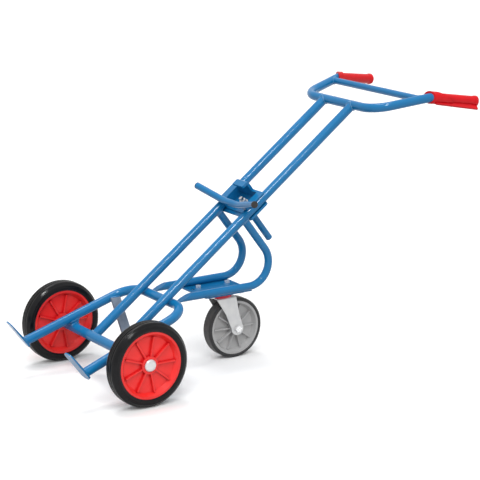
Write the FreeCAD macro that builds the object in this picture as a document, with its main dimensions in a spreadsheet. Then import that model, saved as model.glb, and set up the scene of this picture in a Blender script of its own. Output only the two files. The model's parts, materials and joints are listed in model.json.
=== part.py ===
import FreeCAD, Part
import math
import os
import re
import Sketcher

# Drum trolley resting on its two wheels and its swivel caster.
# Origin: on the floor, in the middle plane, under the middle of the overall length.
# +X runs back to the handles, +Y to the trolley's left, +Z up; millimetres and degrees.
# "Reach" runs along the rails from the axle, "behind" square to the rails, away from the load.
SIZES = {
    # pose
    "axle_from_origin": 486.3,
    "lean_angle": 52.9,
    # shared fits
    "running_gap": 0.05,
    "slide_gap": 0.3,
    "cut_overrun": 60,
    # rails and axle
    "tube_radius": 14,
    "tube_wall": 2.5,
    "rail_half_spacing": 71.4,
    "rail_set_back": 11.5,
    "axle_tube_radius": 15,
    "axle_radius": 10,
    "spacer_radius": 13.5,
    "spacer_length": 18,
    "cap_radius": 18,
    "cap_edge": 2.5,
    "cap_shoulder_radius": 15,
    "cap_shoulder_height": 5.3,
    "cap_crown_radius": 9,
    "cap_height": 7,
    "cap_bore_depth": 4,
    # toe bow and toe plates
    "toe_forward": 190,
    "toe_inside_track": 73.9,
    "toe_below_axle": 29.9,
    "bow_back": 197,
    "bow_half_spacing": 157.1,
    "bow_above_axle": 102.8,
    "bow_bend": 72,
    "saddle_length": 22,
    "saddle_width": 20,
    "toe_drop": 138,
    "toe_thickness": 6,
    "toe_tip_thickness": 3.5,
    "toe_width": 41,
    "toe_length": 88,
    "toe_corner_share": 0.44,
    # foot step
    "step_seat": 1,
    "step_leg_slope": 85,
    "step_bar_thickness": 8,
    "step_bar_width": 32,
    "step_back": 129,
    "step_length": 123,
    "step_bend": 18,
    # caster stays and carrier plate
    "stay_radius": 12,
    "stay_wall": 2.5,
    "stay_reach": 556,
    "stay_bend": 69,
    "stay_above_bow": 8.8,
    "stay_tip_behind_bow": 13.5,
    "stay_solid_end": 66,
    "stay_tip_angle": 24,
    "carrier_ahead_of_caster": 94,
    "carrier_length": 170,
    "carrier_thickness": 5,
    "carrier_seat": 0.5,
    "carrier_corner": 10,
    "slot_from_front": 16,
    "slot_half_spacing": 30,
    "slot_radius": 5,
    "slot_length": 18,
    # handle
    "handle_reach": 1063,
    "handle_half_base": 175.7,
    "handle_bend": 82,
    "elbow_rise": 157,
    "elbow_behind": 92.4,
    "elbow_half_width": 237.3,
    "elbow_bend": 26,
    "grip_end_rise": 273.3,
    "grip_end_behind": 209.7,
    "grip_end_half_width": 269.2,
    "cross_tube_radius": 10.7,
    "cross_tube_wall": 2,
    "cross_tube_share": 0.8344,
    # grips, along their tubes from the elbow
    "grip_length": 162,
    "grip_end_wall": 10,
    "grip_radius": 16,
    "grip_bulge_radius": 18,
    "grip_bulge_length": 20,
    "grip_end_round": 6,
    "collar_radius": 19.5,
    "mouth_inside": 16,
    "mouth_outside": 6,
    "collar_short": 9,
    "collar_long": 70,
    "guard_root_radius": 12,
    "guard_start": 14,
    "guard_start_radius": 25.5,
    "guard_radius": 32,
    "guard_thickness": 6,
    "guard_turn": 45,
    # main wheels
    "wheel_radius": 125,
    "wheel_track": 517,
    "hub_half": 18,
    "hub_radius": 26,
    "bush_radius": 14,
    "web_half": 9,
    "tyre_height": 26.4,
    "seat_depth": 5.6,
    "rim_lip": 6.6,
    "dish_slope": 10,
    "rim_half": 22.7,
    "seat_half": 18.5,
    "rib_half_at_hub": 16.5,
    "rib_half_at_rim": 17.5,
    "rib_thickness": 4.5,
    "rib_overlap": 1,
    "tyre_bead_half": 23.5,
    "tyre_side_height": 21,
    "tyre_half": 27,
    "tyre_shoulder": 19,
    "tread_groove_pitch": 9,
    "tread_groove_width": 3,
    "tread_groove_depth": 3,
    # caster mounting and swivel
    "caster_axis": 412,
    "caster_plate_length": 140,
    "caster_plate_half_width": 52,
    "caster_plate_thickness": 5,
    "caster_plate_corner": 10,
    "caster_bolt_length_spacing": 105,
    "caster_bolt_width_spacing": 76,
    "caster_bolt_radius": 5,
    "caster_bolt_head": 8.7,
    "caster_bolt_head_height": 6,
    "race_radius": 31,
    "race_height": 9,
    "dust_ring_radius": 36,
    "dust_ring_height": 6,
    "dust_ring_edge": 2,
    "kingpin_radius": 9,
    "kingpin_head_radius": 15,
    "kingpin_head_height": 3.5,
    # caster fork and wheel
    "caster_trail": 46,
    "caster_wheel_radius": 95,
    "fork_gauge": 4,
    "fork_half_gap": 27,
    "fork_crown_front": 30,
    "fork_crown_back": 40,
    "fork_waist_rise": 50,
    "fork_waist_front": 4,
    "fork_waist_back": 51,
    "fork_lug_radius": 21,
    "fork_edge_round": 6,
    "caster_axle_radius": 6,
    "caster_nut_radius": 11,
    "caster_nut_height": 8,
    "sleeve_radius": 9,
    "caster_bush_radius": 12,
    "caster_hub_radius": 19,
    "caster_web_half": 3,
    "caster_tyre_height": 11,
    "caster_seat_depth": 5,
    "caster_rim_lip": 7,
    "caster_dish_slope": 7,
    "caster_rim_half": 17.6,
    "caster_seat_half": 13,
    "caster_rib_half_at_hub": 18,
    "caster_rib_half_at_rim": 12,
    "caster_rib_thickness": 4,
    "caster_tyre_half": 20.5,
    "caster_tyre_side_height": 8,
    "caster_tyre_shoulder": 7,
    # hook carriage, along the rails from the back plate's lower edge
    "channel_gauge": 4,
    "channel_half_width": 82,
    "plate_below_hook": 7.7,
    "back_plate_half_width": 84,
    "back_plate_thickness": 6,
    "back_plate_corner": 8,
    "hook_half_width": 27,
    "hook_thickness": 8,
    "hook_front": 41,
    "hook_lip": 17,
    "hook_rise": 85.7,
    "hook_round": 7,
    "cradle_radius": 10.65,
    "cradle_wall": 2.6,
    "cradle_rise": 10.7,
    "cradle_half_flat": 40,
    "cradle_half_width": 157.1,
    "cradle_end_front": 47.2,
    "cradle_bend": 150,
    "plug_head": 3,
    "plug_edge": 1,
    "plug_depth": 12,
    "rod_radius": 10.5,
    "rod_length": 145,
    "rod_rise": 45.7,
    "rod_end_round": 4,
    "stud_radius": 6,
    "stud_front": 13,
    "stud_depth": 30,
    "nut_radius": 11,
    "nut_height": 10,
    "washer_radius": 14,
    "washer_thickness": 2.5,
}
RIB_COUNT = 9
CASTER_RIB_COUNT = 10
VOLUME_SHARE = 0.002
SIDES = (("left", 1), ("right", -1))
X_AXIS = FreeCAD.Vector(1, 0, 0)
Y_AXIS = FreeCAD.Vector(0, 1, 0)
Z_AXIS = FreeCAD.Vector(0, 0, 1)
UNTURNED = FreeCAD.Rotation()
# Places that several pieces share: the carriage's faces round the rails, measured behind the axle
# and from the middle plane, its pieces' places along the rails, how far the toes stand from the
# middle plane, and the heights above the floor where bow, stays and caster meet.
RAIL_FRONT = "(rail_set_back - tube_radius - slide_gap)"
RAIL_BACK = "(rail_set_back + tube_radius + slide_gap)"
RAIL_INSIDE = "(rail_half_spacing - tube_radius - slide_gap)"
PLATE_FOOT = "(stay_reach + stay_radius + slide_gap)"
TOE_SIDE = "(wheel_track / 2 - toe_inside_track)"
BOW_HEIGHT = "(wheel_radius + bow_above_axle)"
STAY_HEIGHT = f"({BOW_HEIGHT} + stay_above_bow)"
STAY_TIP_BACK = "(bow_back + stay_tip_behind_bow)"
CRADLE_REACH = f"({PLATE_FOOT} + cradle_rise)"
ROD_REACH = f"({PLATE_FOOT} + rod_rise)"
HOOK_UNDER = f"({PLATE_FOOT} + hook_rise - hook_thickness)"
CARRIER_FRONT = "(caster_axis - carrier_ahead_of_caster)"
CARRIER_TOP = f"({STAY_HEIGHT} - stay_radius + carrier_seat)"
CASTER_TOP = f"({CARRIER_TOP} - carrier_thickness)"
CASTER_UNDER = f"({CASTER_TOP} - caster_plate_thickness)"
CROWN_TOP = f"({CASTER_UNDER} - race_height - slide_gap - dust_ring_height)"
KINGPIN_FOOT = f"({CROWN_TOP} - fork_gauge - slide_gap - kingpin_head_height)"
AXLE_HALF_TUBE = "(wheel_track / 2 - hub_half - slide_gap - spacer_length)"
HUB_OUTSIDE = "(wheel_track / 2 + hub_half + slide_gap)"

doc = FreeCAD.newDocument("DrumTrolley")
sheet = doc.addObject("Spreadsheet::Sheet", "Sizes")
for row, (alias, number) in enumerate(SIZES.items(), start=1):
    sheet.set(f"A{row}", alias)
    sheet.set(f"B{row}", str(number))
    sheet.setAlias(f"B{row}", alias)
doc.recompute()
nodes = []


# Sizes, frames and bookkeeping


def bound(formula):
    """Return a formula of sheet names as an expression on the sheet."""
    return re.sub(r"[a-z_]+", lambda word: f"Sizes.{word.group()}", formula)


def size(formula):
    """Return the number a formula of sheet names has now."""
    return float(sheet.evalExpression(bound(formula)))


def at_rest(x, y, z):
    """Return a point given by its distances behind the axle, to the left and above the floor."""
    return FreeCAD.Vector(x - size("axle_from_origin"), y, z)


LEAN = FreeCAD.Rotation(Y_AXIS, size("lean_angle"))
AXLE_CENTRE = at_rest(0, 0, size("wheel_radius"))


def leaned(reach, side, behind):
    """Return a point given in the rails' own directions."""
    return AXLE_CENTRE + LEAN.multVec(FreeCAD.Vector(behind, side, reach))


def node(item, label):
    """Name a finished sub-part and put it on the list to be written."""
    item.Label = label
    nodes.append(item)
    return item


def shape_node(label, shape):
    """Keep a shape made by Part functions as a sub-part whose placement is its reference point."""
    item = doc.addObject("Part::Feature", label)
    base = shape.BoundBox.Center
    to_base = FreeCAD.Matrix()
    to_base.move(-base)
    item.Shape = shape.transformed(to_base, copy=True)
    item.Placement = FreeCAD.Placement(base, UNTURNED)
    return node(item, label)


# PartDesign helpers


def new_body(label, base, rotation=UNTURNED):
    body = doc.addObject("PartDesign::Body", label)
    body.Placement = FreeCAD.Placement(base, rotation)
    return node(body, label)


def origin_feature(body, role):
    return next(item for item in body.Origin.OriginFeatures if item.Role == role)


def new_sketch(body, role, turned=0):
    """Start a sketch on an origin plane, turned by some degrees about the sketch's own Y axis."""
    sketch = body.newObject("Sketcher::SketchObject", f"{body.Name}Sketch")
    sketch.AttachmentSupport = [(origin_feature(body, role), "")]
    sketch.MapMode = "FlatFace"
    sketch.AttachmentOffset = FreeCAD.Placement(FreeCAD.Vector(), FreeCAD.Rotation(Y_AXIS, turned))
    return sketch


def fix_point(sketch, geometry, point, formulas):
    """Tie one sketch point to two formulas; a plain 0 puts it on the axis."""
    for kind, axis, formula in zip(("DistanceX", "DistanceY"), (-2, -1), formulas):
        if formula == "0":
            sketch.addConstraint(Sketcher.Constraint("PointOnObject", geometry, point, axis))
            continue
        rule = sketch.addConstraint(Sketcher.Constraint(kind, geometry, point, size(formula)))
        sketch.setExpression(f"Constraints[{rule}]", bound(formula))


def outline(sketch, corners):
    """Draw a closed outline whose corners are pairs of formulas."""
    points = [FreeCAD.Vector(size(x), size(y), 0) for x, y in corners]
    first = sketch.GeometryCount
    for start, end in zip(points, points[1:] + points[:1]):
        sketch.addGeometry(Part.LineSegment(start, end))
    for index, corner in enumerate(corners):
        following = first + (index + 1) % len(corners)
        sketch.addConstraint(Sketcher.Constraint("Coincident", first + index, 2, following, 1))
        fix_point(sketch, first + index, 1, corner)


def circle(sketch, centre, radius):
    """Draw a circle from formulas."""
    middle = FreeCAD.Vector(size(centre[0]), size(centre[1]), 0)
    index = sketch.addGeometry(Part.Circle(middle, Z_AXIS, size(radius)))
    rule = sketch.addConstraint(Sketcher.Constraint("Radius", index, size(radius)))
    sketch.setExpression(f"Constraints[{rule}]", bound(radius))
    fix_point(sketch, index, 3, centre)


def both_ways(corners):
    """Return an outline from its half on the positive side, mirrored across the sketch's X axis."""
    mirrored = [(x, f"-({y})") for x, y in reversed(corners)]
    return corners + mirrored


def both_ways_across(corners):
    """Return an outline from its half on the positive side, mirrored across the sketch's Y axis."""
    mirrored = [(f"-({x})", y) for x, y in reversed(corners)]
    return corners + mirrored


def feature(body, kind, sketch):
    item = body.newObject(f"PartDesign::{kind}", f"{body.Name}{kind}")
    item.Profile = sketch
    return item


def pad(body, sketch, length, symmetric=True):
    item = feature(body, "Pad", sketch)
    item.setExpression("Length", bound(length))
    item.Midplane = symmetric
    return item


def pocket(body, sketch):
    """Cut right through, both ways from the sketch."""
    item = feature(body, "Pocket", sketch)
    item.Type = "ThroughAll"
    item.Midplane = True
    return item


def turn(body, corners, kind="Revolution"):
    """Add, or cut with kind Groove, an outline turned about the body's Y axis."""
    sketch = new_sketch(body, "XY_Plane")
    outline(sketch, corners)
    item = feature(body, kind, sketch)
    item.ReferenceAxis = (sketch, ["V_Axis"])
    item.Angle = 360
    return item


def round_edges(body, base, radius, wanted):
    """Fillet the edges of a feature that pass a test."""
    doc.recompute()
    names = []
    for index, edge in enumerate(base.Shape.Edges, start=1):
        if wanted(edge):
            names.append(f"Edge{index}")
    item = body.newObject("PartDesign::Fillet", f"{body.Name}Fillet")
    item.Base = (base, names)
    item.setExpression("Radius", bound(radius))
    return item


def upright_edge(edge):
    """Tell whether an edge is straight and runs along Z."""
    return edge.Curve.TypeId == "Part::GeomLine" and abs(edge.tangentAt(edge.FirstParameter).z) > 0.99


def plate(label, base, rotation, corners, thickness, corner_radius):
    """Make a flat plate from an outline in XY, thickness upwards, with rounded corners."""
    body = new_body(label, base, rotation)
    sketch = new_sketch(body, "XY_Plane")
    outline(sketch, corners)
    raised = pad(body, sketch, thickness, symmetric=False)
    round_edges(body, raised, corner_radius, upright_edge)
    return body


def through_holes(body, holes):
    """Cut round holes, each a centre and a radius in formulas, through a flat plate."""
    sketch = new_sketch(body, "XY_Plane")
    for centre, radius in holes:
        circle(sketch, centre, radius)
    return pocket(body, sketch)


# Tube helpers


def route(points, bends):
    """Return a wire through the points, its corners turned into tangent arcs."""
    edges = []
    start = points[0]
    for before, corner, after, bend in zip(points, points[1:], points[2:], bends):
        inward = (before - corner).normalize()
        outward = (after - corner).normalize()
        half = inward.getAngle(outward) / 2
        first = corner + inward * (bend / math.tan(half))
        last = corner + outward * (bend / math.tan(half))
        middle = corner + (inward + outward).normalize() * (bend / math.sin(half) - bend)
        edges.append(Part.LineSegment(start, first).toShape())
        edges.append(Part.Arc(first, middle, last).toShape())
        start = last
    edges.append(Part.LineSegment(start, points[-1]).toShape())
    return Part.Wire(edges)


def bar(points, bends, radius):
    """Return a round bar bent along a route."""
    wire = route(points, bends)
    section = Part.Wire([Part.Circle(points[0], points[1] - points[0], radius).toShape()])
    solid = wire.makePipe(Part.Face(section))
    expected = math.pi * radius * radius * wire.Length
    if abs(solid.Volume / expected - 1) > VOLUME_SHARE:
        raise RuntimeError("a bent bar lost its volume")
    return solid


def straight(start, end, radius):
    """Return a straight round bar between two points."""
    along = end - start
    return Part.makeCylinder(radius, along.Length, start, along)


def without(shape, *tools):
    """Cut shapes out of a shape and clean the seams."""
    for tool in tools:
        shape = shape.cut(tool)
    return shape.removeSplitter()


def tube_node(label, outer, inner, *neighbours):
    """Keep a tube whose ends are coped to its neighbours."""
    return shape_node(label, without(outer, inner, *neighbours))


def prism(sides_radius, height, start, along):
    """Return a hexagonal prism for nuts and bolt heads."""
    turnable = FreeCAD.Rotation(Z_AXIS, along)
    step = math.radians(60)
    ring = [
        start + turnable.multVec(FreeCAD.Vector(math.cos(step * k), math.sin(step * k), 0) * sides_radius)
        for k in range(7)
    ]
    return Part.Face(Part.makePolygon(ring)).extrude(turnable.multVec(Z_AXIS) * height)


# Frame: rails, axle, bow, stays and handle


def rail_line(side, start, end):
    across = side * size("rail_half_spacing")
    behind = size("rail_set_back")
    return leaned(start, across, behind), leaned(end, across, behind)


def rail_envelope(side):
    start, end = rail_line(side, 0, size("handle_reach"))
    return straight(start, end, size("tube_radius"))


def across_bar(x, z, half, radius):
    """Return a round bar across the trolley."""
    return straight(at_rest(x, -half, z), at_rest(x, half, z), radius)


def axle_tube_envelope():
    return across_bar(0, size("wheel_radius"), size(AXLE_HALF_TUBE), size("axle_tube_radius"))


def handle_points():
    """Return the handle's route from the left grip's end to the right one's."""
    left = [
        grip_point(1, size("grip_length - grip_end_wall")),
        elbow(1),
        leaned(size("handle_reach"), size("handle_half_base"), size("rail_set_back")),
    ]
    right = [
        leaned(size("handle_reach"), -size("handle_half_base"), size("rail_set_back")),
        elbow(-1),
        grip_point(-1, size("grip_length - grip_end_wall")),
    ]
    return left + right


def elbow(side):
    reach = size("handle_reach + elbow_rise")
    return leaned(reach, side * size("elbow_half_width"), size("elbow_behind"))


def grip_axis(side):
    across = side * size("grip_end_half_width")
    end = leaned(size("handle_reach + grip_end_rise"), across, size("grip_end_behind"))
    return (end - elbow(side)).normalize()


def grip_point(side, along):
    return elbow(side) + grip_axis(side) * along


def handle_bar(radius):
    bends = [size("elbow_bend"), size("handle_bend"), size("handle_bend"), size("elbow_bend")]
    return bar(handle_points(), bends, radius)


def bow_side(side):
    """Return a side tube's line, from its front end, still too long, to its corner at the back."""
    low = size("wheel_radius - toe_below_axle")
    front = at_rest(-size("toe_forward"), side * size(TOE_SIDE), low)
    return front, at_rest(size("bow_back"), side * size("bow_half_spacing"), size(BOW_HEIGHT))


def on_bow_side(side, back):
    """Return the point of a side tube's line at a distance behind the axle."""
    start, end = bow_side(side)
    return start + (end - start) * ((back + size("toe_forward")) / size("bow_back + toe_forward"))


def bow_bar(radius):
    """Return the toe bow as a solid bar, its front ends still too long."""
    points = bow_side(1) + bow_side(-1)[::-1]
    return bar(list(points), [size("bow_bend")] * 2, radius)


def toe_seat(side):
    """Return where a side tube stands on its toe plate, square to the tube across the trolley."""
    front, back = bow_side(side)
    up = LEAN.multVec(Z_AXIS)
    along = back - front
    share = -(size("toe_drop") + (front - AXLE_CENTRE).dot(up)) / along.dot(up)
    splay = math.degrees(math.atan2(-along.y, along.x))
    return FreeCAD.Placement(front + along * share, LEAN.multiply(FreeCAD.Rotation(X_AXIS, splay)))


def below_toe(side):
    """Return the space under a toe plate's seat."""
    over = size("cut_overrun")
    box = Part.makeBox(2 * over, 2 * over, over, FreeCAD.Vector(-over, -over, -over))
    box.Placement = toe_seat(side)
    return box


def make_rails():
    for name, side in SIDES:
        start, end = rail_line(side, 0, size("handle_reach"))
        hollow = straight(start, end, size("tube_radius - tube_wall"))
        base = straight(handle_points()[2], handle_points()[3], size("tube_radius"))
        tube_node(f"rail_{name}", rail_envelope(side), hollow, axle_tube_envelope(), base)


def make_axle():
    height = size("wheel_radius")
    hollow = across_bar(0, height, size(AXLE_HALF_TUBE), size("axle_radius"))
    tube_node("axle_tube", axle_tube_envelope(), hollow)
    end = size(f"{HUB_OUTSIDE} + cap_bore_depth")
    shape_node("axle", across_bar(0, height, end, size("axle_radius")))
    for name, side in SIDES:
        make_spacer_and_cap(name, side)


def make_spacer_and_cap(name, side):
    """Make the loose pieces on one axle end: a spacer inside the wheel and a push-on cap outside."""
    height = size("wheel_radius")
    outward = FreeCAD.Rotation(X_AXIS, 90 - side * 90)
    spacer = new_body(f"axle_spacer_{name}", at_rest(0, side * size(AXLE_HALF_TUBE), height), outward)
    turn(spacer, [
        ("axle_radius", "0"),
        ("spacer_radius", "0"),
        ("spacer_radius", "spacer_length"),
        ("axle_radius", "spacer_length"),
    ])
    cap = new_body(f"axle_cap_{name}", at_rest(0, side * size(HUB_OUTSIDE), height), outward)
    turn(cap, [
        ("0", "cap_bore_depth"),
        ("axle_radius", "cap_bore_depth"),
        ("axle_radius", "0"),
        ("cap_radius", "0"),
        ("cap_radius", "cap_edge"),
        ("cap_shoulder_radius", "cap_shoulder_height"),
        ("cap_crown_radius", "cap_height"),
        ("0", "cap_height"),
    ])


def make_toe_bow():
    cuts = [axle_tube_envelope()]
    for name, side in SIDES:
        cuts += [rail_envelope(side), below_toe(side)]
    hollow = bow_bar(size("tube_radius - tube_wall"))
    tube_node("toe_bow", bow_bar(size("tube_radius")), hollow, *cuts)


def make_saddles():
    """Make the pads that carry the bow's side tubes on the axle tube."""
    long, wide = size("saddle_length"), size("saddle_width")
    for name, side in SIDES:
        top = on_bow_side(side, 0)
        corner = FreeCAD.Vector(top.x - long / 2, top.y - wide / 2, AXLE_CENTRE.z)
        block = Part.makeBox(long, wide, top.z - AXLE_CENTRE.z, corner)
        shape_node(f"bow_saddle_{name}", without(block, axle_tube_envelope(), bow_bar(size("tube_radius"))))


def make_toe_plates():
    """Make the toes: tongues with round ends, thinned towards the tip to slip under a drum."""
    corners = both_ways([
        ("toe_width / 2", "toe_width / 2"),
        ("-toe_length", "toe_width / 2"),
    ])
    for name, side in SIDES:
        seat = toe_seat(side)
        base = seat.multVec(FreeCAD.Vector(0, 0, -size("toe_thickness")))
        radius = "toe_width * toe_corner_share"
        body = plate(f"toe_plate_{name}", base, seat.Rotation, corners, "toe_thickness", radius)
        taper = new_sketch(body, "XZ_Plane")
        outline(taper, [
            ("-toe_width / 2", "toe_thickness"),
            ("-toe_length", "toe_tip_thickness"),
            ("-toe_length", "toe_thickness + cut_overrun"),
            ("-toe_width / 2", "toe_thickness + cut_overrun"),
        ])
        pocket(body, taper)


def make_foot_step():
    """Make the step: a flat bar bent to a trough that hangs between the bow's side tubes."""
    top = on_bow_side(1, size("step_back"))
    splay = f"({TOE_SIDE} - bow_half_spacing) / (bow_back + toe_forward)"
    outside = f"(bow_half_spacing + (bow_back - step_back) * {splay} - tube_radius + step_seat)"
    body = doc.addObject("PartDesign::Body", "step_blank")
    sketch = new_sketch(body, "YZ_Plane")
    flare = "step_leg_slope * step_bar_thickness / step_length"
    outline(sketch, both_ways_across([
        (f"{outside} - step_bar_thickness - step_leg_slope + {flare}", "step_bar_thickness - step_length"),
        (f"{outside} - step_bar_thickness", "0"),
        (outside, "0"),
        (f"{outside} - step_leg_slope", "-step_length"),
    ]))
    blank = pad(body, sketch, "step_bar_width")

    def bend_line(height):
        def wanted(edge):
            box = edge.BoundBox
            straight_across = box.XLength > size("step_bar_width") / 2
            return straight_across and abs(box.ZMax - size(height)) < size("slide_gap")
        return wanted

    outer = round_edges(body, blank, "step_bend", bend_line("-step_length"))
    inner = bend_line("step_bar_thickness - step_length")
    round_edges(body, outer, "step_bend - step_bar_thickness", inner)
    doc.recompute()
    shape = body.Shape.copy()
    shape.Placement = FreeCAD.Placement(FreeCAD.Vector(top.x, 0, top.z), UNTURNED)
    shape_node("foot_step", without(shape, bow_bar(size("tube_radius"))))


def stay_points(side):
    """Return a stay's route: down from its rail, round the bend and forward to the toe bow."""
    across = side * size("rail_half_spacing")
    height = size(STAY_HEIGHT)
    top = leaned(size("stay_reach"), across, size("rail_set_back"))
    down = LEAN.multVec(X_AXIS)
    corner = top + down * ((height - top.z) / down.z)
    return [top, corner, at_rest(size(STAY_TIP_BACK), across, height)]


def stay_bar(side, radius, shorter):
    points = stay_points(side)
    points[2] = points[2] + X_AXIS * shorter
    return bar(points, [size("stay_bend")], radius)


def above_stay_tip(side):
    """Return the space cut off a stay's flattened front end."""
    over = size("cut_overrun")
    across = side * size("rail_half_spacing")
    tip = at_rest(size(STAY_TIP_BACK), across, size(f"{STAY_HEIGHT} - stay_radius"))
    box = Part.makeBox(2 * over, over, over, FreeCAD.Vector(-over, -over / 2, 0))
    box.Placement = FreeCAD.Placement(tip, FreeCAD.Rotation(Y_AXIS, -size("stay_tip_angle")))
    return box


def bow_cross_envelope():
    half = size("bow_half_spacing - bow_bend")
    return across_bar(size("bow_back"), size(BOW_HEIGHT), half, size("tube_radius"))


def make_stays():
    for name, side in SIDES:
        outer = stay_bar(side, size("stay_radius"), 0)
        hollow = stay_bar(side, size("stay_radius - stay_wall"), size("stay_solid_end"))
        cuts = (above_stay_tip(side), rail_envelope(side), bow_cross_envelope())
        tube_node(f"caster_stay_{name}", outer, hollow, *cuts)


def bolt_places():
    """Return the bolt holes round the swivel axis as signs of their two spacings."""
    return [(i, j) for i in (1, -1) for j in (1, -1)]


def bolt_formula(sign, spacing):
    return f"{sign} * {spacing} / 2"


def make_carrier():
    """Make the plate under the stays, with bolt holes and two slots near its front edge."""
    body = doc.addObject("PartDesign::Body", "carrier_blank")
    sketch = new_sketch(body, "XY_Plane")
    outline(sketch, both_ways([
        (CARRIER_FRONT, "rail_half_spacing"),
        (f"{CARRIER_FRONT} + carrier_length", "rail_half_spacing"),
    ]))
    raised = pad(body, sketch, "carrier_thickness", symmetric=False)
    round_edges(body, raised, "carrier_corner", upright_edge)
    holes = new_sketch(body, "XY_Plane")
    for i, j in bolt_places():
        x = f"caster_axis + {bolt_formula(i, 'caster_bolt_length_spacing')}"
        circle(holes, (x, bolt_formula(j, "caster_bolt_width_spacing")), "caster_bolt_radius")
    for side in (1, -1):
        slot(holes, f"{side} * slot_half_spacing")
    pocket(body, holes)
    doc.recompute()
    shape = body.Shape.copy()
    shape.Placement = FreeCAD.Placement(at_rest(0, 0, size(CASTER_TOP)), UNTURNED)
    stays = [stay_bar(side, size("stay_radius"), 0) for name, side in SIDES]
    shape_node("caster_carrier", without(shape, *stays))


def slot(sketch, middle):
    """Draw a slot along Y near the carrier plate's front edge."""
    near = f"{CARRIER_FRONT} + slot_from_front - slot_radius"
    far = f"{CARRIER_FRONT} + slot_from_front + slot_radius"
    outline(sketch, [
        (near, f"{middle} - slot_length / 2"),
        (far, f"{middle} - slot_length / 2"),
        (far, f"{middle} + slot_length / 2"),
        (near, f"{middle} + slot_length / 2"),
    ])


def make_handle():
    outer = handle_bar(size("tube_radius"))
    tube_node("handle_bow", outer, handle_bar(size("tube_radius - tube_wall")))
    corner, bend = handle_points()[2], elbow(1)
    left = corner + (bend - corner) * size("cross_tube_share")
    right = FreeCAD.Vector(left.x, -left.y, left.z)
    hollow = straight(left, right, size("cross_tube_radius - cross_tube_wall"))
    tube_node("handle_cross_tube", straight(left, right, size("cross_tube_radius")), hollow, outer)


def grip_rotation(side):
    """Return the turn that lays a grip's Y along its tube and its X outwards."""
    return FreeCAD.Rotation(Y_AXIS * side, grip_axis(side), FreeCAD.Vector(), "YXZ")


def at_grip_end(edge):
    box = edge.BoundBox
    return box.YMin > size("grip_length - slide_gap") and box.XMax > size("grip_radius")


def slanted_cut(body, turned, near, far, beyond):
    """Cut a collar off along a line between its two sides; beyond says which way the cut goes on."""
    half_run = f"(({far}) - ({near})) / 2"
    sketch = new_sketch(body, "XY_Plane", turned)
    outline(sketch, [
        ("-2 * collar_radius", f"{near} - {half_run}"),
        ("2 * collar_radius", f"{far} + {half_run}"),
        ("2 * collar_radius", beyond),
        ("-2 * collar_radius", beyond),
    ])
    pocket(body, sketch)


def make_grip(name, side):
    """Make a grip: a slanted collar, a round core with a bulged end and a knuckle guard below."""
    body = doc.addObject("PartDesign::Body", f"grip_{name}_blank")
    downward = -side * size("guard_turn")
    turn(body, [
        ("0", "-mouth_inside"),
        ("collar_radius", "-mouth_inside"),
        ("collar_radius", "collar_long"),
        ("0", "collar_long"),
    ])
    slanted_cut(body, downward, "collar_short", "collar_long", "collar_long + 2 * cut_overrun")
    slanted_cut(body, 0, "-mouth_inside", "mouth_outside", "-2 * cut_overrun")
    core = turn(body, [
        ("0", "mouth_outside"),
        ("grip_radius", "mouth_outside"),
        ("grip_radius", "grip_length - grip_bulge_length"),
        ("grip_bulge_radius", "grip_length - grip_bulge_length / 2"),
        ("grip_bulge_radius", "grip_length"),
        ("0", "grip_length"),
    ])
    round_edges(body, core, "grip_end_round", at_grip_end)
    guard = new_sketch(body, "XY_Plane", downward)
    outline(guard, [
        ("guard_root_radius", "mouth_outside"),
        ("collar_radius", "mouth_outside"),
        ("guard_start_radius", "guard_start"),
        ("guard_radius", "grip_length - grip_end_round"),
        ("guard_root_radius", "grip_length - grip_end_round"),
    ])
    pad(body, guard, "guard_thickness")
    doc.recompute()
    shape = body.Shape.copy()
    shape.Placement = FreeCAD.Placement(elbow(side), grip_rotation(side))
    shape_node(f"grip_{name}", without(shape, handle_bar(size("tube_radius"))))


# Wheels


def ribbed_rim(body, names, rib_count):
    """Turn a dished rim and put radial ribs on both sides of its web."""
    n = names
    turn(body, both_ways([
        (n["bush"], n["hub_half"]),
        (n["hub"], n["hub_half"]),
        (n["hub"], n["web_half"]),
        (n["dish"], n["web_half"]),
        (n["dish_lip"], n["rim_half"]),
        (n["lip"], n["rim_half"]),
        (n["lip"], n["seat_half"]),
        (n["seat"], n["seat_half"]),
    ]))
    sketch = new_sketch(body, "XY_Plane")
    inner = f"{n['hub']} - rib_overlap"
    outer = f"{n['dish']} + rib_overlap"
    base = f"{n['web_half']} - rib_overlap"
    for sign in ("", "-"):
        outline(sketch, [
            (inner, f"{sign}({base})"),
            (inner, f"{sign}{n['rib_at_hub']}"),
            (outer, f"{sign}{n['rib_at_rim']}"),
            (outer, f"{sign}({base})"),
        ])
    rib = pad(body, sketch, n["rib_thickness"])
    pattern = body.newObject("PartDesign::PolarPattern", f"{body.Name}Ribs")
    pattern.Originals = [rib]
    pattern.Axis = (origin_feature(body, "Y_Axis"), [""])
    pattern.Angle = 360
    pattern.Occurrences = rib_count
    body.Tip = pattern


def tyre(body, names):
    """Turn a solid tyre seated on the rim, with rounded shoulders."""
    n = names
    solid = turn(body, both_ways([
        (n["seat"], n["seat_half"]),
        (n["lip"], n["seat_half"]),
        (n["lip"], n["bead_half"]),
        (n["tyre_side"], n["tyre_half"]),
        (n["tyre"], n["tyre_half"]),
    ]))

    def shoulder(edge):
        return edge.BoundBox.XMax > size(n["tyre"]) - size("slide_gap") and len(edge.Vertexes) == 1

    return round_edges(body, solid, n["shoulder"], shoulder)


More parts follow.
